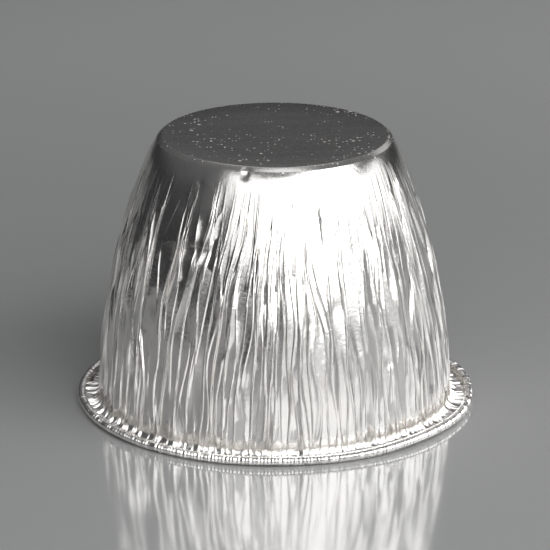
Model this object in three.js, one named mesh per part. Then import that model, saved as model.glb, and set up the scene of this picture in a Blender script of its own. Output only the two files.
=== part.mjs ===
// Foil pudding basin, drawn from one round sheet of thin aluminium and turned upside down on its rim.
// Millimetres, +Z up. The origin is at the middle of the mouth, on the plane that the rim rests on.
// The flat base is the plain middle of the sheet. Round it the sheet is drawn down, and its spare width
// gathers into pleats, which deepen towards the mouth, run out over the flange and into the rolled edge.
import * as THREE from "three";
import { mergeVertices } from "three/addons/utils/BufferGeometryUtils.js";

const degrees = Math.PI / 180;
const fullTurn = 2 * Math.PI;

// Sizes of the plain drawn form, to the outside of the foil and without the pleats' height.
const height = 82.5;
const mouthDiameter = 105.4;
const flangeWidth = 7.3;
const baseFlatDiameter = 67;
const foilThickness = 0.1;

// Round the base the foil is pressed down in a narrow chamfer. A crisp crease parts it from the shoulder,
// which starts at a slope of its own and then curves over into the wall.
const chamferWidth = 1.55;
const chamferSlope = 37 * degrees;
const shoulderSlope = 54 * degrees;
const shoulderRadius = 25;
const shoulderTurn = 14.7 * degrees;
// How far the wall still leans from the vertical where it reaches the mouth.
const mouthLean = 1.5 * degrees;

// The mouth flares into a narrow flange, and the flange's edge is rolled up and back over itself.
const flareRadius = 3;
const rollRadius = 1.4;
const rollTurn = 225 * degrees;

// Pleats: one ridge each, standing outwards on the wall and upwards on the flange.
const pleatCount = 82;
const wallPleatDepth = 0.95;
const flangePleatDepth = 1;
const rollPleatDepth = 0.4;
// The lowest pleat stands this share of the highest one's height.
const shallowestPleat = 0.4;
// Shares of the way down the wall at which the first and the last pleats begin.
const firstPleatStart = -0.05;
const lastPleatStart = 0.4;
// A pleat grows to its full depth over this share of the wall.
const pleatGrowth = 0.25;
// How far ridges and the folds between them wander sideways, as shares of a pleat's width,
// and how many times each of them swings to and fro on its way down the wall.
const ridgeWander = 0.22;
const foldWander = 0.1;
const wanderTurns = 0.8;
// How far pleats lean sideways at the shoulder, in two waves that run round the basin.
const leanWaves = [
  { waves: 3, angle: 4.8 * degrees, phase: 1.1 },
  { waves: 5, angle: 3.2 * degrees, phase: 2.6 },
];

// Facets along each stretch of the section.
const shoulderSteps = 2;
const wallSteps = 6;
const flareSteps = 2;
const rollSteps = 5;

const pleatAngle = fullTurn / pleatCount;
const halfFoil = foilThickness / 2;

// A repeatable scatter from 0 to 1 for pleat number k; each salt gives another scatter.
function scatter(k, salt) {
  const wave = Math.sin((k + 1) * 12.9898 + salt * 78.233) * 43758.5453;
  return wave - Math.floor(wave);
}

// The line that the middle of the foil follows, from the base's edge to the raw edge inside the roll.
// heading is how far it has turned down from level, down is the share of the wall that it has passed,
// and depth is how high the pleats stand there.
class FoilLine {
  constructor(radius, level) {
    this.radius = radius;
    this.level = level;
    this.heading = 0;
    this.down = 0;
    this.stations = [];
  }

  mark(depth) {
    const { radius, level, heading, down } = this;
    this.stations.push({ radius, level, heading, down, depth });
  }

  // Turns sharply on the spot, above the pleats. The mark's heading is midway between the two slopes.
  crease(angle) {
    this.heading += angle / 2;
    this.mark(0);
    this.heading += angle / 2;
  }

  // Turns on a radius; a negative angle turns the line back upwards. The depth changes evenly.
  bend(bendRadius, angle, steps, depthFrom, depthTo) {
    const side = Math.sign(angle) * bendRadius;
    for (let i = 1; i <= steps; i++) {
      const turned = this.heading + angle / steps;
      this.radius += side * (Math.sin(turned) - Math.sin(this.heading));
      this.level += side * (Math.cos(turned) - Math.cos(this.heading));
      this.heading = turned;
      this.mark(THREE.MathUtils.lerp(depthFrom, depthTo, i / steps));
    }
  }

  // Follows a curve of (radius, level) points and takes its heading from the curve's tangent.
  follow(curve, steps, depth) {
    for (let i = 1; i <= steps; i++) {
      const point = curve.getPoint(i / steps);
      const tangent = curve.getTangent(i / steps);
      this.radius = point.x;
      this.level = point.y;
      this.heading = Math.atan2(-tangent.y, tangent.x);
      this.down = i / steps;
      this.mark(depth);
    }
  }

  // Runs straight on to a radius.
  outTo(radius) {
    this.level -= (radius - this.radius) * Math.tan(this.heading);
    this.radius = radius;
  }
}

// One smooth sweep that leaves the shoulder and meets the mouth along their own directions.
function wallCurve(start, heading, end) {
  const across = end.x - start.x;
  const drop = start.y - end.y;
  const slopeAtStart = 1 / Math.tan(heading);
  const slopeAtEnd = Math.tan(mouthLean);
  const reach = (across - slopeAtEnd * drop) / (slopeAtStart - slopeAtEnd);
  const knee = new THREE.Vector2(start.x + slopeAtStart * reach, start.y - reach);
  return new THREE.QuadraticBezierCurve(start, knee, end);
}

function foilStations() {
  const line = new FoilLine(baseFlatDiameter / 2, height - halfFoil);
  line.crease(chamferSlope);
  line.outTo(baseFlatDiameter / 2 + chamferWidth);
  line.crease(shoulderSlope - chamferSlope);
  line.bend(shoulderRadius, shoulderTurn, shoulderSteps, 0, 0);

  const flareTurn = Math.PI / 2 - mouthLean;
  const mouthRadius = mouthDiameter / 2 - halfFoil;
  const mouthLevel = halfFoil + flareRadius * (1 - Math.cos(flareTurn));
  const shoulderEnd = new THREE.Vector2(line.radius, line.level);
  const mouth = new THREE.Vector2(mouthRadius, mouthLevel);
  line.follow(wallCurve(shoulderEnd, line.heading, mouth), wallSteps, wallPleatDepth);
  line.bend(flareRadius, -flareTurn, flareSteps, wallPleatDepth, flangePleatDepth);

  line.outTo(mouthDiameter / 2 + flangeWidth - halfFoil - rollRadius);
  line.mark(flangePleatDepth);
  line.bend(rollRadius, -rollTurn, rollSteps, flangePleatDepth, rollPleatDepth);
  return line.stations;
}

// Where a column of the sheet stands, as an angle. Even columns are folds and odd columns are ridges.
function columnAngle(column, down) {
  const place = (column / 2) * pleatAngle;
  const wander = column % 2 === 0 ? foldWander : ridgeWander;
  const sway = wander * Math.sin(fullTurn * (scatter(column, 1) + wanderTurns * down));
  let lean = 0;
  for (const { waves, angle, phase } of leanWaves) {
    lean += angle * Math.sin(waves * place + phase);
  }
  return place + sway * pleatAngle + lean * (1 - down) ** 2;
}

// How far a column stands off the plain form. Each pleat begins at a level of its own.
function columnDepth(column, station) {
  if (column % 2 === 0) {
    return 0;
  }
  const begins = THREE.MathUtils.lerp(firstPleatStart, lastPleatStart, scatter(column, 2));
  const grown = THREE.MathUtils.smoothstep(station.down, begins, begins + pleatGrowth);
  return station.depth * grown * THREE.MathUtils.lerp(shallowestPleat, 1, scatter(column, 3));
}

// A point on one skin of the foil: side 1 is the outside of the basin and side -1 is the inside.
function skinPoint(station, side) {
  const across = side * halfFoil * Math.sin(station.heading);
  const up = side * halfFoil * Math.cos(station.heading);
  return new THREE.Vector2(station.radius + across, station.level + up);
}

// A lathe splits the quads of the two skins along opposite diagonals. In a pleat those would cross, so
// the outside's quads, from the given row of the section on, are split as the inside's are.
function splitSkinsAlike(foil, rows, firstOutsideRow) {
  const index = foil.getIndex();
  const cornersPerQuad = 6;
  for (let i = 0; i < index.count; i += cornersPerQuad) {
    const [a, b, d, c] = [0, 1, 2, 3].map((corner) => index.getX(i + corner));
    if (a % rows >= firstOutsideRow) {
      index.set([a, b, c, a, c, d], i);
    }
  }
}

// The plain form is turned from the foil's closed section, then each column is moved to its pleat.
function pleatedFoil() {
  const stations = foilStations();
  const returning = stations.slice().reverse();
  const section = [
    new THREE.Vector2(0, height - foilThickness),
    ...stations.map((station) => skinPoint(station, -1)),
    ...returning.map((station) => skinPoint(station, 1)),
    new THREE.Vector2(0, height),
  ];
  const stationOfRow = [null, ...stations, ...returning, null];

  const columns = 2 * pleatCount;
  const foil = new THREE.LatheGeometry(section, columns).rotateX(Math.PI / 2);
  const position = foil.getAttribute("position");
  for (let i = 0; i < position.count; i++) {
    const station = stationOfRow[i % section.length];
    if (!station) {
      continue;
    }
    const column = Math.floor(i / section.length) % columns;
    const point = section[i % section.length];
    const depth = columnDepth(column, station);
    const radius = point.x + depth * Math.sin(station.heading);
    const angle = columnAngle(column, station.down);
    const level = point.y + depth * Math.cos(station.heading);
    position.setXYZ(i, radius * Math.cos(angle), radius * Math.sin(angle), level);
  }
  splitSkinsAlike(foil, section.length, stations.length + 1);
  foil.deleteAttribute("normal");
  foil.deleteAttribute("uv");
  const closed = mergeVertices(foil);
  closed.computeVertexNormals();
  return closed;
}

const brightAluminium = new THREE.MeshStandardMaterial({
  color: 0xd6d7d8,
  metalness: 1,
  roughness: 0.28,
});

const basin = new THREE.Mesh(pleatedFoil(), brightAluminium);
basin.name = "basin";

const puddingBasin = new THREE.Group();
puddingBasin.add(basin);

export default puddingBasin;
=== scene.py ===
import math

import bpy
import numpy as np
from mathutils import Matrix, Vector


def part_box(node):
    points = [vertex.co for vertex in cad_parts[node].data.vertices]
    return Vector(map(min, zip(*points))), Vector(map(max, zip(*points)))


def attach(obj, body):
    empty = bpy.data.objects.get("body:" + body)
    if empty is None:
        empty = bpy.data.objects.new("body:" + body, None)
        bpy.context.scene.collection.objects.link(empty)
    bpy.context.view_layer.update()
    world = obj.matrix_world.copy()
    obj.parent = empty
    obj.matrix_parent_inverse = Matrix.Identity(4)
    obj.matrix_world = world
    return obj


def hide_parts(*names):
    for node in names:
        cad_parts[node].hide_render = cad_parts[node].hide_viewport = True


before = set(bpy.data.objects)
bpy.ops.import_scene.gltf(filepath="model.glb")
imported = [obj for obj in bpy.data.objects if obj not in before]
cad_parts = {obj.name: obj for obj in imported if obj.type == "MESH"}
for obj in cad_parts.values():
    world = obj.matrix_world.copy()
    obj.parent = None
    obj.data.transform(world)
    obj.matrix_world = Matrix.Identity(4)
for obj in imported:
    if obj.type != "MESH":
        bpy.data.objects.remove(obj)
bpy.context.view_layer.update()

bpy.ops.object.select_all(action="DESELECT")

# The basin: one round sheet of thin bright aluminium foil, drawn over a former into a deep barrel.
# Its base stays flat, its spare width gathers into sharp uneven pleats that run out over the flange,
# and its edge is rolled up into a crimped bead. It stands upside down on the flange.
mm = 0.001
_, high_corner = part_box("basin")
height = high_corner.z
rim_radius = high_corner.x
foil_thickness = 0.1 * mm
base_flat_radius = 33.3 * mm
edge_radius, crease_radius = 0.8 * mm, 0.8 * mm
chamfer_slope, chamfer_length = math.radians(37), 1.3 * mm
shoulder_slope = math.radians(54)
shoulder_radius, shoulder_turn = 25 * mm, math.radians(14.7)
mouth_lean = math.radians(1.5)
flange_width = 7.3 * mm
flare_radius = 3 * mm
roll_radius, roll_turn = 1.4 * mm, math.radians(225)

# How many rings of faces each stretch of the section gets, from the middle of the base outwards.
base_rings, edge_rings, crease_rings, shoulder_rings = 3, 2, 2, 5
wall_rings, flare_rings, flange_rings, roll_rings = 44, 6, 3, 7
pleats = 84
columns_per_pleat = 8
columns = pleats * columns_per_pleat
full_turn = 2 * math.pi


def bend(stations, bend_radius, turn, rings, down):
    """Continues the section round a bend; a negative turn lifts it back upwards."""
    side = math.copysign(bend_radius, turn)
    for _ in range(rings):
        radius, level, heading, _ = stations[-1]
        turned = heading + turn / rings
        radius += side * (math.sin(turned) - math.sin(heading))
        level += side * (math.cos(turned) - math.cos(heading))
        stations.append((radius, level, turned, down))


def foil_section():
    """Stations (radius, level, heading, share of the wall passed) along the middle of the foil."""
    half = foil_thickness / 2
    stations = []
    for ring in range(base_rings + 1):
        stations.append((base_flat_radius * ring / base_rings, height - half, 0.0, 0.0))
    bend(stations, edge_radius, chamfer_slope, edge_rings, 0.0)
    radius, level, heading, _ = stations[-1]
    radius += chamfer_length * math.cos(heading)
    level -= chamfer_length * math.sin(heading)
    stations.append((radius, level, heading, 0.0))
    bend(stations, crease_radius, shoulder_slope - chamfer_slope, crease_rings, 0.0)
    bend(stations, shoulder_radius, shoulder_turn, shoulder_rings, 0.0)

    # The wall is one smooth sweep between the shoulder's direction and the mouth's.
    start_radius, start_level, start_heading, _ = stations[-1]
    flare_turn = math.pi / 2 - mouth_lean
    mouth_radius = rim_radius - flange_width - half
    mouth_level = half + flare_radius * (1 - math.cos(flare_turn))
    across, drop = mouth_radius - start_radius, start_level - mouth_level
    slope_at_start, slope_at_end = 1 / math.tan(start_heading), math.tan(mouth_lean)
    reach = (across - slope_at_end * drop) / (slope_at_start - slope_at_end)
    knee_radius, knee_level = start_radius + slope_at_start * reach, start_level - reach
    for ring in range(1, wall_rings + 1):
        t = ring / wall_rings
        radius = (1 - t) ** 2 * start_radius + 2 * t * (1 - t) * knee_radius + t * t * mouth_radius
        level = (1 - t) ** 2 * start_level + 2 * t * (1 - t) * knee_level + t * t * mouth_level
        outward = (1 - t) * (knee_radius - start_radius) + t * (mouth_radius - knee_radius)
        downward = (1 - t) * (start_level - knee_level) + t * (knee_level - mouth_level)
        stations.append((radius, level, math.atan2(downward, outward), t))

    bend(stations, flare_radius, -flare_turn, flare_rings, 1.0)
    flare_end = stations[-1][0]
    roll_centre = rim_radius - half - roll_radius
    for ring in range(1, flange_rings + 1):
        stations.append((flare_end + (roll_centre - flare_end) * ring / flange_rings, half, 0.0, 1.0))
    bend(stations, roll_radius, -roll_turn, roll_rings, 1.0)
    return stations


# The plain form: one point is drawn out along the section and spun round the axis.
stations = foil_section()
bpy.ops.mesh.primitive_plane_add(size=mm, location=(0, 0, 0))
basin = bpy.context.object
basin.name = "foil_basin"
bpy.ops.object.mode_set(mode="EDIT")
bpy.ops.mesh.select_all(action="SELECT")
bpy.ops.mesh.merge(type="CENTER")
bpy.ops.transform.translate(value=(0, 0, stations[0][1]))
for (radius, level, _, _), (next_radius, next_level, _, _) in zip(stations, stations[1:]):
    step = (next_radius - radius, 0, next_level - level)
    bpy.ops.mesh.extrude_region_move(TRANSFORM_OT_translate={"value": step})
bpy.ops.mesh.select_all(action="SELECT")
bpy.ops.mesh.spin(steps=columns, angle=full_turn, center=(0, 0, 0), axis=(0, 0, 1))
bpy.ops.mesh.select_all(action="SELECT")
bpy.ops.mesh.remove_doubles(threshold=0.001 * mm)
bpy.ops.mesh.normals_make_consistent(inside=False)
bpy.ops.object.mode_set(mode="OBJECT")

# The pleats. Each has one sharp main ridge, which starts at a level of its own under the shoulder or
# branches off its neighbour, and many have a finer ridge in the middle of the panel beside it.
# Azimuths run from +X towards +Y, so the front is at -90 degrees and the right side at 0.
pleat_angle = full_turn / pleats
main_ridge_height, main_ridge_half_width = 0.52 * mm, 0.42 * mm
fine_ridge_height, fine_ridge_half_width = 0.42 * mm, 0.36 * mm
flange_ridge_height, flange_fine_height = 0.85 * mm, 0.2 * mm
bead_crimp_height = 0.32 * mm
panel_tilt, panel_bow = 0.34 * mm, 0.2 * mm
# How far a ridge may stand from its even place, and how far and how often it swings to and fro on its
# way down. The distances are shares of a pleat's width.
ridge_scatter = 0.18
ridge_swings = ((0.12, 0.9), (0.07, 2.6))
# Where the first main ridge starts, and how much further down the last one may, as shares of the wall.
first_start, start_spread = 0.025, 0.25
# Every third ridge may branch off a neighbour, this share of a pleat's width away from it, but this
# share of them stands alone instead.
branch_every, branch_gap, alone_share = 3, 0.34, 0.25
flattened_ridges = 34
# Shares of the wall between which the ridges come back to full height at its foot.
foot_from, foot_to = 0.86, 0.98
chance = np.random.default_rng(23)


def smoothstep(low, high, x):
    """0 up to low, 1 from high on, and a smooth rise between."""
    t = np.clip((x - low) / (high - low), 0, 1)
    return t * t * (3 - 2 * t)


def angle_from(centre, azimuth):
    """The angle from a place, in degrees, to an azimuth, the short way round."""
    return np.angle(np.exp(1j * (azimuth - math.radians(centre))))


def each_pleat(low, high):
    """One random value for each pleat, as a column that meets the section's stations."""
    return chance.uniform(low, high, (pleats, 1))


def swing(turns, down):
    """A wave down the wall, which starts at a random point of its turn in each pleat."""
    return np.sin(full_turn * (turns * down + each_pleat(0, 1)))


def lean_of(azimuth):
    """How far, in radians, the pleats lean sideways under the shoulder: most just left of the front."""
    from_most = azimuth - math.radians(-112)
    return np.radians(4.5 * np.cos(2 * from_most) + 3.5 * np.cos(5 * from_most))


def crumple_of(azimuth):
    """How much finer creasing there is: most at the front right, least at the left and behind."""
    return np.clip(0.66 + 0.4 * np.cos(azimuth + math.radians(62)), 0.45, 1)


def relief_of(azimuth):
    """How deep the folds are: shallow at the front right and deep at the left."""
    shallow = 0.4 * np.exp(-((angle_from(-66, azimuth) / math.radians(24)) ** 2))
    deep = 0.5 * np.exp(-((angle_from(-152, azimuth) / math.radians(30)) ** 2))
    return 1 - shallow + deep


def broadness_of(azimuth):
    """Where the folds under the shoulder are broad and soft, as drapery, instead of sharp."""
    off = angle_from(-108, azimuth)
    at_front_left = np.exp(-((off / math.radians(24)) ** 2))
    at_both_sides_behind = 0.6 * np.exp(-(((np.abs(off) - 2.4) / 0.5) ** 2))
    return at_front_left + at_both_sides_behind


def main_ridges(down):
    """Azimuth and presence, from 0 to 1, of each pleat's main ridge at each station."""
    sway = sum(far * swing(turns, down) for far, turns in ridge_swings)
    place = pleat_angle * (np.arange(pleats)[:, None] + each_pleat(-ridge_scatter, ridge_scatter) + sway)
    # The lean dies away down the wall, and more of the ridges start early than late.
    azimuth = place + lean_of(place) * (1 - down) ** 1.3
    start = first_start + start_spread * each_pleat(0, 1) ** 1.7
    presence = smoothstep(start, start + each_pleat(0.03, 0.09), down)

    # A branch leaves its neighbour part of the way down and moves over to its own place.
    for pleat in range(1, pleats, branch_every):
        if chance.random() < alone_share:
            continue
        side = chance.choice((-1, 1))
        neighbour = azimuth[(pleat + side) % pleats] + full_turn * ((pleat + side) // pleats)
        fork, reach = chance.uniform(0.08, 0.6), chance.uniform(0.14, 0.28)
        own = smoothstep(fork, fork + reach, down)
        beside = neighbour - side * branch_gap * pleat_angle
        azimuth[pleat] = beside + (azimuth[pleat] - beside) * own
        presence[pleat] = smoothstep(fork, fork + 0.05, down)

    # Some ridges are pressed flat for a short way.
    for pleat in chance.choice(pleats, size=flattened_ridges, replace=False):
        centre, half = chance.uniform(0.2, 0.93), chance.uniform(0.015, 0.035)
        presence[pleat] *= 1 - np.exp(-(((down[0] - centre) / half) ** 2)) * chance.uniform(0.5, 1)
    return azimuth, presence


def fine_ridges(down, azimuth):
    """Presence of the finer ridge in each panel: two runs on the wall, each of its own length."""
    presence = np.zeros_like(azimuth)
    for _ in range(2):
        start, length = each_pleat(0.02, 0.75), each_pleat(0.1, 0.5)
        rise = smoothstep(start, start + 0.05, down)
        fall = 1 - smoothstep(start + length, start + length + 0.06, down)
        presence = np.maximum(presence, rise * fall * each_pleat(0.3, 1))
    return presence * crumple_of(azimuth)


def pleat_columns():
    """Azimuth and lift off the plain form, for each column of faces at each station."""
    # Widths are turned into angles by the radius, which is kept off zero at the middle of the base.
    least_radius = 20 * mm
    radius = np.maximum(np.array([station[0] for station in stations]), least_radius)[None, :]
    down = np.array([station[3] for station in stations])[None, :]
    ring = np.arange(len(stations))[None, :]
    last_wall_ring = len(stations) - 1 - roll_rings - flange_rings - flare_rings
    on_flange = smoothstep(last_wall_ring - 1, last_wall_ring + flare_rings, ring)
    on_bead = smoothstep(last_wall_ring + flare_rings + 1, len(stations) - roll_rings + 1, ring)
    below_shoulder = smoothstep(0.0, 0.1, down)
    at_foot = smoothstep(foot_from, foot_to, down)

    # The main ridges rise and fade on their way down, and each stands at full height at the foot.
    ridge, presence = main_ridges(down)
    next_ridge = np.roll(ridge, -1, axis=0)
    next_ridge[-1] += full_turn
    gap = next_ridge - ridge
    fading = 0.5 - 0.5 * np.cos(full_turn * (each_pleat(1.5, 3.2) * down + each_pleat(0, 1)))
    own = each_pleat(0.55, 1.1) * (1 - (0.8 - 0.45 * smoothstep(0.35, 0.8, down)) * fading)
    own = own + (each_pleat(0.9, 1.35) - own) * at_foot
    presence = presence + (1 - presence) * at_foot
    relief = relief_of(ridge)
    rise = own * presence * main_ridge_height * relief
    rise = rise + (each_pleat(0.6, 1) * flange_ridge_height - rise) * on_flange
    rise = rise * (1 - on_bead)
    broad_above = 1 + each_pleat(0.4, 1.5) * broadness_of(ridge) * (1 - smoothstep(0.1, 0.4, down))
    half_width = each_pleat(0.75, 1.25) * broad_above * main_ridge_half_width / radius
    half_width = half_width * (1 + 0.6 * on_flange)
    foot = np.minimum(half_width, 0.2 * gap)

    # The finer ridges wander between them.
    fine = fine_ridges(down, ridge) * fine_ridge_height * relief
    foot_share = each_pleat(0.3, 1)
    fine = np.maximum(fine, foot_share * fine_ridge_height * at_foot)
    fine = fine + (foot_share * flange_fine_height - fine) * on_flange
    fine = fine * (1 - on_bead)
    fine_half = np.minimum(fine_ridge_half_width / radius, 0.1 * gap)
    wander = np.sin(full_turn * (each_pleat(1.2, 2.6) * down + each_pleat(0, 1)))
    middle = ridge + gap * (0.5 + 0.17 * wander * (1 - on_flange))

    # The panels between the ridges tilt to and fro, and most of them sag a little.
    turn = 0.7 * swing(0.8, down) + 0.5 * swing(2.7, down)
    tilt = panel_tilt * turn * below_shoulder * (1 - on_flange) * relief
    bow = panel_bow * each_pleat(-1, 0.6) * below_shoulder * (1 - on_bead) * relief

    # Each pleat's columns of points, as azimuth and lift, from its ridge to just short of the next.
    left_tilt = np.roll(tilt, 1, axis=0) * -1
    next_presence = np.roll(presence, -1, axis=0)
    next_foot = np.minimum(np.roll(half_width, -1, axis=0), 0.2 * gap)
    next_rise = np.roll(rise, -1, axis=0)
    profile = (
        (ridge, rise + 0.5 * (tilt + left_tilt) * presence),
        (ridge + 0.45 * foot, 0.8 * rise + 0.8 * tilt * presence),
        (ridge + foot, tilt * presence),
        (middle - fine_half, bow),
        (middle, bow + fine),
        (middle + fine_half, bow),
        (next_ridge - next_foot, -tilt * next_presence),
        (next_ridge - 0.45 * next_foot, 0.8 * next_rise - 0.8 * tilt * next_presence),
    )
    azimuth = np.empty((columns, len(stations)))
    lift = np.empty_like(azimuth)
    for first, (place, raised) in enumerate(profile):
        azimuth[first::columns_per_pleat] = place
        lift[first::columns_per_pleat] = raised

    # The bead is pinched into crimps of its own, about a millimetre apart, on every other column.
    even = (np.arange(columns)[:, None] + 0.5) * full_turn / columns
    azimuth = azimuth + (even - azimuth) * 0.75 * on_bead
    pinch = chance.uniform(0.6, 1, (columns, 1)) * (np.arange(columns)[:, None] % 2)
    lift = lift + pinch * bead_crimp_height * on_bead
    return azimuth, lift


def out_of_round(azimuth, level):
    """The whole wall's slow unevenness, which a thin drawn sheet always has."""
    wave = np.sin(3 * azimuth + 1.0) + 0.7 * np.sin(5 * azimuth + 7 * level / height)
    return 0.11 * mm * wave


# Dents that the foil has had pressed into it: azimuth in degrees, then level, half width, half height
# and depth in millimetres.
dents = [
    (-121.0, 58.2, 1.9, 1.6, 0.75),
    (-116.1, 58.2, 1.6, 1.5, 0.6),
    (-67.6, 42.8, 1.3, 1.6, 0.5),
    (-48.5, 25.2, 1.4, 1.6, 0.55),
    (-131.0, 24.1, 1.2, 1.6, 0.5),
    (-130.5, 70.4, 1.3, 2.2, 0.45),
    (-127.3, 72.6, 1.0, 2.0, 0.4),
    (-125.0, 75.8, 1.0, 1.8, 0.35),
    (-103.7, 80.6, 1.2, 1.2, 0.5),
    (-88.0, 81.6, 9.0, 1.6, 0.22),
    (12.0, 47.0, 1.8, 1.8, 0.6),
    (64.0, 30.0, 1.6, 1.8, 0.55),
    (101.0, 61.0, 2.2, 1.8, 0.6),
    (148.0, 38.0, 1.5, 1.8, 0.5),
    (171.0, 68.0, 1.6, 1.8, 0.45),
]


def press_dents(azimuth, radius, level):
    """How far the dents press the foil in at each point. The middle of the base is spared."""
    pressed = np.zeros_like(level)
    for centre, centre_level, width, tall, depth in dents:
        round_off = angle_from(centre, azimuth) * radius
        spread = (round_off / (width * mm)) ** 2 + ((level - centre_level * mm) / (tall * mm)) ** 2
        pressed += depth * mm * np.exp(-spread)
    return pressed * smoothstep(25 * mm, 33 * mm, radius)


# How far the flange is sprung up in places, the bead runs in and out, and the barrel stands off the
# middle of the rim.
flange_spring, bead_run, off_centre = 0.5 * mm, 0.2 * mm, -0.5 * mm


def pleat_the_foil(mesh):
    """Moves each point of the plain form to its place on the pleated one."""
    place = np.empty(len(mesh.vertices) * 3)
    mesh.vertices.foreach_get("co", place)
    place = place.reshape(-1, 3)
    section = np.array(stations)
    radius, level = np.hypot(place[:, 0], place[:, 1]), place[:, 2]
    off_section = (radius[:, None] - section[:, 0]) ** 2 + (level[:, None] - section[:, 1]) ** 2
    row = off_section.argmin(axis=1)
    plain_azimuth = np.arctan2(place[:, 1], place[:, 0])
    column = np.round(plain_azimuth / full_turn * columns).astype(int) % columns

    # The finish's creases follow the pleats, so the points keep where they were on a plain cylinder.
    round_wall = 50 * mm
    round_x, round_y = round_wall * np.cos(plain_azimuth), round_wall * np.sin(plain_azimuth)
    on_cylinder = np.stack([round_x, round_y, level], axis=1)
    along_pleats = mesh.attributes.new("along_pleats", "FLOAT_VECTOR", "POINT")
    along_pleats.data.foreach_set("vector", on_cylinder.astype(np.float32).ravel())

    column_azimuth, column_lift = pleat_columns()
    azimuth, lift = column_azimuth[column, row], column_lift[column, row]
    heading, down = section[row, 2], section[row, 3]
    on_wall = smoothstep(0.0, 0.3, down) * (1 - smoothstep(0.9, 1.0, down))
    lift = lift + out_of_round(azimuth, level) * on_wall - press_dents(azimuth, radius, level)
    new_radius = np.where(row > 0, radius + lift * np.sin(heading), 0)
    new_level = level + lift * np.cos(heading)

    # The rim isn't true either, but it stays inside the basin's own size and off the table.
    on_rim = smoothstep(-3 * mm, 5 * mm, new_radius - (rim_radius - flange_width))
    sprung = 0.35 + 0.35 * np.sin(2 * azimuth + 2.4) + 0.3 * np.sin(7 * azimuth + 0.6)
    new_level = new_level + flange_spring * np.clip(sprung, 0, 1) * on_rim
    new_radius = new_radius - bead_run * (0.5 + 0.5 * np.sin(9 * azimuth + 1.9)) * on_rim
    new_radius = np.minimum(new_radius, rim_radius - foil_thickness / 2)
    new_level = np.maximum(new_level, foil_thickness / 2)

    shifted = off_centre * (1 - on_rim) * (0.5 + 0.5 * smoothstep(0, 0.4, down))
    new_x, new_y = new_radius * np.cos(azimuth) + shifted, new_radius * np.sin(azimuth)
    moved = np.stack([new_x, new_y, new_level], axis=1)
    moved[row == 0, 2] = section[0, 1]
    mesh.vertices.foreach_set("co", moved.astype(np.float32).ravel())
    mesh.update()


pleat_the_foil(basin.data)
bpy.ops.object.modifier_add(type="SOLIDIFY")
basin.modifiers[-1].thickness = foil_thickness
basin.modifiers[-1].offset = 0
bpy.ops.object.modifier_apply(modifier=basin.modifiers[-1].name)
# Ridges and the bead's crimps stay crisp, and everything flatter than this is smooth.
bpy.ops.object.shade_smooth_by_angle(angle=math.radians(36))


# The finish: bare rolled aluminium, with no coating. It is bright and satin, it creases finely where the
# sheet is gathered, and the flat base keeps the grain of the rolling and a scatter of small pits.
def node(tree, kind, **values):
    """Adds a shader node, sets its properties and plain inputs by name, and returns it."""
    added = tree.nodes.new(kind)
    for name, value in values.items():
        if name in added.inputs:
            added.inputs[name].default_value = value
        else:
            setattr(added, name, value)
    return added


def laid_out(tree, kind, place, **values):
    """Adds a node that reads its coordinates from a socket."""
    added = node(tree, kind, **values)
    tree.links.new(place, added.inputs["Vector"])
    return added


def stretched(tree, place, scale):
    """Coordinates times a scale for each axis. A small scale draws a pattern out along its axis."""
    return laid_out(tree, "ShaderNodeMapping", place, Scale=scale).outputs["Vector"]


def combined(tree, operation, *terms):
    """The result of a Math node. Its terms are sockets or plain numbers."""
    added = node(tree, "ShaderNodeMath", operation=operation)
    for term, entry in zip(terms, added.inputs):
        if isinstance(term, float):
            entry.default_value = term
        else:
            tree.links.new(term, entry)
    return added.outputs["Value"]


def carried(tree, value, low, high, to_low=0.0, to_high=1.0, kind="LINEAR"):
    """Carries a value from one range over to another, and holds it at both ends."""
    added = node(tree, "ShaderNodeMapRange", interpolation_type=kind)
    ends = {"From Min": low, "From Max": high, "To Min": to_low, "To Max": to_high}
    for name, end in ends.items():
        added.inputs[name].default_value = end
    tree.links.new(value, added.inputs["Value"])
    return added.outputs["Result"]


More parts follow.
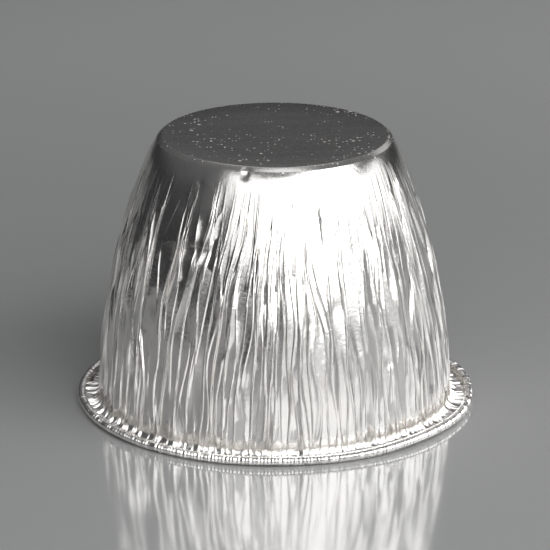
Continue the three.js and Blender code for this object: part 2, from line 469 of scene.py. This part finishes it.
def bright_foil():
    """Rolled aluminium: a bright satin metal with fine creases, orange peel, grain and small pits."""
    material = bpy.data.materials.new("bright_foil")
    material.use_nodes = True
    tree = material.node_tree
    shader = tree.nodes["Principled BSDF"]
    shader.inputs["Metallic"].default_value = 1.0
    on_object = node(tree, "ShaderNodeTexCoord").outputs["Object"]
    along_pleats = node(tree, "ShaderNodeAttribute", attribute_name="along_pleats").outputs["Vector"]
    level = laid_out(tree, "ShaderNodeSeparateXYZ", along_pleats).outputs["Z"]
    on_wall = carried(tree, level, 80 * mm, 68 * mm, kind="SMOOTHSTEP")
    on_base = carried(tree, level, height - 1.6 * mm, height - 0.3 * mm)

    # Fine sharp creases, and finer crinkles between them, run with the pleats below the shoulder.
    # The noise type comes first, because the offset and the gain are only there for ridged noise.
    ridged = {"noise_type": "RIDGED_MULTIFRACTAL", "Scale": 1.0, "Roughness": 0.5, "Offset": 0.9}
    drawn_out = stretched(tree, along_pleats, (300, 300, 17))
    creases = laid_out(
        tree, "ShaderNodeTexNoise", drawn_out, **ridged, Detail=2.0, Distortion=0.35, Gain=1.4
    )
    tighter = stretched(tree, along_pleats, (900, 900, 60))
    crinkles = laid_out(tree, "ShaderNodeTexNoise", tighter, **ridged, Detail=1.0, Distortion=0.4)
    wall_creases = combined(tree, "MULTIPLY", creases.outputs["Fac"], on_wall)
    wall_crinkles = combined(tree, "MULTIPLY", crinkles.outputs["Fac"], on_wall)

    # Orange peel, calmer on the base, and rolling grain along X lie in the sheet everywhere.
    peel = laid_out(tree, "ShaderNodeTexNoise", on_object, Scale=1000.0, Detail=2.0, Roughness=0.5)
    calmer = combined(tree, "MULTIPLY_ADD", on_base, -0.5, 1.0)
    calmed = combined(tree, "MULTIPLY", peel.outputs["Fac"], calmer)
    rolled = stretched(tree, on_object, (40, 900, 900))
    grain = laid_out(tree, "ShaderNodeTexNoise", rolled, Scale=1.0, Detail=2.0, Roughness=0.6)

    # Small pits and specks on the base, of two sizes, in loose clusters.
    clusters = laid_out(tree, "ShaderNodeTexNoise", on_object, Scale=75.0, Detail=2.0)
    crowded = carried(tree, clusters.outputs["Fac"], 0.36, 0.64, 0.7, 1.0)
    dots = []
    for cells_per_metre, fewest, widest in ((480.0, 0.62, 0.32), (950.0, 0.6, 0.42)):
        cells = laid_out(tree, "ShaderNodeTexVoronoi", on_object, Scale=cells_per_metre)
        by_chance = node(tree, "ShaderNodeSeparateColor")
        tree.links.new(cells.outputs["Color"], by_chance.inputs["Color"])
        gathered = combined(tree, "MULTIPLY", by_chance.outputs["Red"], crowded)
        size = carried(tree, gathered, fewest, 1.0, 0.0, widest)
        dots.append(combined(tree, "LESS_THAN", cells.outputs["Distance"], size))
    speck = combined(tree, "MAXIMUM", *dots)
    base_speck = combined(tree, "MULTIPLY", speck, on_base)

    # Roughness: satin, a little duller on the base and much duller in the specks.
    satin = carried(tree, peel.outputs["Fac"], 0.0, 1.0, 0.15, 0.27)
    dulled = combined(tree, "MULTIPLY_ADD", on_base, 0.06, satin)
    rough = combined(tree, "MULTIPLY_ADD", base_speck, 0.4, dulled)
    tree.links.new(rough, shader.inputs["Roughness"])

    # Colour: bright metal, very slightly warm, in faint bands along the rolling direction.
    banded = stretched(tree, on_object, (22, 190, 150))
    bands = laid_out(tree, "ShaderNodeTexNoise", banded, Scale=1.0, Detail=3.0, Roughness=0.6)
    tone = node(tree, "ShaderNodeValToRGB")
    dull_grey, warm_grey = tone.color_ramp.elements
    dull_grey.position = 0.3
    dull_grey.color = (0.82, 0.81, 0.798, 1)
    warm_grey.position = 0.62
    warm_grey.color = (0.92, 0.9, 0.873, 1)
    faint_red = tone.color_ramp.elements.new(0.75)
    faint_red.color = (0.91, 0.87, 0.855, 1)
    tree.links.new(bands.outputs["Fac"], tone.inputs["Fac"])
    tree.links.new(tone.outputs["Color"], shader.inputs["Base Color"])

    # Height, from coarse to fine, in one chain of bumps.
    bumps = [
        (wall_creases, 0.27 * mm, 1.0),
        (wall_crinkles, 0.11 * mm, 1.0),
        (calmed, 0.036 * mm, 0.9),
        (grain.outputs["Fac"], 0.02 * mm, 0.8),
        (base_speck, 0.09 * mm, 0.9),
    ]
    normal = None
    for relief, distance, strength in bumps:
        bump = node(tree, "ShaderNodeBump", Distance=distance, Strength=strength)
        tree.links.new(relief, bump.inputs["Height"])
        if normal:
            tree.links.new(normal, bump.inputs["Normal"])
        normal = bump.outputs["Normal"]
    tree.links.new(normal, shader.inputs["Normal"])
    return material


basin.data.materials.clear()
basin.data.materials.append(bright_foil())
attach(basin, "root")
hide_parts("basin")

# The floor: a plain pale table top, far wider than the view. It is matt, with a polish round the
# basin that dies away towards the far table.
floor_width = 12
polish_from, polish_to = 0.16, 0.48
bpy.ops.mesh.primitive_plane_add(size=floor_width, location=(0, 0, 0))
floor = bpy.context.object
floor.name = "floor"
pale_table = bpy.data.materials.new("pale_table")
pale_table.use_nodes = True
table = pale_table.node_tree
matt = table.nodes["Principled BSDF"]
matt.inputs["Base Color"].default_value = (0.41, 0.415, 0.413, 1)
matt.inputs["Specular IOR Level"].default_value = 0.0
polish = node(table, "ShaderNodeBsdfGlossy", Roughness=0.1)
on_table = node(table, "ShaderNodeTexCoord").outputs["Object"]
from_basin = node(table, "ShaderNodeVectorMath", operation="LENGTH")
table.links.new(on_table, from_basin.inputs[0])
distance = from_basin.outputs["Value"]
polished = carried(table, distance, polish_from, polish_to, 0.28, 0.03, kind="SMOOTHSTEP")
both = node(table, "ShaderNodeMixShader")
table.links.new(polished, both.inputs["Fac"])
table.links.new(matt.outputs["BSDF"], both.inputs[1])
table.links.new(polish.outputs["BSDF"], both.inputs[2])
table.links.new(both.outputs["Shader"], table.nodes["Material Output"].inputs["Surface"])
floor.data.materials.append(pale_table)

# The light: plain soft boxes all round, at one distance. The key fills the front right, the fill box
# carries on to the front left and the side box to the right. The weaker ones behind and overhead light
# the far side and the base.
box_distance = 1.5
# The share of a box's width over which its light fades out at each edge.
cloth_fade = 0.2


def soft_box(name, azimuth, elevation, width, tall, brightness):
    """Aims a box at the middle of the basin. Azimuth 0 is the camera's side and 90 its right."""
    turn, rise = math.radians(azimuth), math.radians(elevation)
    away = Vector((math.sin(turn) * math.cos(rise), -math.cos(turn) * math.cos(rise), math.sin(rise)))
    centre = Vector((0, 0, height / 2)) + away * box_distance
    bpy.ops.object.light_add(type="AREA", location=centre)
    lamp = bpy.context.object
    lamp.name = name
    lamp.rotation_mode = "QUATERNION"
    lamp.rotation_quaternion = (-away).to_track_quat("-Z", "Y")
    lamp.data.shape = "RECTANGLE"
    lamp.data.size, lamp.data.size_y = width, tall
    lamp.data.energy = math.pi * brightness * width * tall

    # The box fades out towards its edges, as cloth in front of a flash tube does.
    lamp.data.use_nodes = True
    cloth = lamp.data.node_tree
    across = laid_out(
        cloth, "ShaderNodeSeparateXYZ", node(cloth, "ShaderNodeNewGeometry").outputs["Parametric"]
    )
    fades = []
    for axis in ("X", "Y"):
        to_edge = combined(cloth, "PINGPONG", across.outputs[axis], 0.5)
        fades.append(carried(cloth, to_edge, 0.0, cloth_fade, kind="SMOOTHSTEP"))
    fade = combined(cloth, "MULTIPLY", *fades)
    cloth.links.new(fade, cloth.nodes["Emission"].inputs["Strength"])


soft_box("key_box", 41, 29, 2.65, 1.75, 3.45)
soft_box("fill_box", -20, 31, 1.5, 1.4, 1.17)
soft_box("side_box", 98, 15, 1.15, 0.65, 1.25)
soft_box("back_box", 180, 62, 1.2, 0.8, 0.4)
soft_box("back_right_box", 145, 26, 0.8, 0.6, 0.45)
soft_box("top_box", 30, 81, 0.65, 0.65, 1.0)

# The room behind the boxes is nearly dark at table height and a little lighter overhead.
world = bpy.data.worlds.new("studio")
bpy.context.scene.world = world
world.use_nodes = True
room = world.node_tree
backdrop = room.nodes["Background"]
direction = node(room, "ShaderNodeTexCoord").outputs["Generated"]
upward = laid_out(room, "ShaderNodeSeparateXYZ", direction).outputs["Z"]
shade = node(room, "ShaderNodeValToRGB")
at_table, overhead = shade.color_ramp.elements
at_table.color = (0.025, 0.025, 0.026, 1)
overhead.color = (0.13, 0.13, 0.132, 1)
low_shade = shade.color_ramp.elements.new(0.16)
low_shade.color = (0.03, 0.03, 0.031, 1)
high_shade = shade.color_ramp.elements.new(0.34)
high_shade.color = (0.075, 0.075, 0.077, 1)
room.links.new(upward, shade.inputs["Fac"])
room.links.new(shade.outputs["Color"], backdrop.inputs["Color"])

# The camera: a long lens, about a metre away and nineteen degrees above the table.
camera_pitch = math.radians(18.83)
camera_distance = 1050.9 * mm
camera_aside = -0.2 * mm
aim_level = 38.3 * mm
camera_away = camera_distance * math.cos(camera_pitch)
camera_level = aim_level + camera_distance * math.sin(camera_pitch)
bpy.ops.object.camera_add(
    location=(camera_aside, -camera_away, camera_level),
    rotation=(math.pi / 2 - camera_pitch, 0, 0),
)
camera = bpy.context.object
camera.data.sensor_width = 36
camera.data.lens = 229.1
camera.data.clip_start, camera.data.clip_end = 0.05, 50
bpy.context.scene.camera = camera
bpy.context.scene.view_settings.view_transform = "Standard"
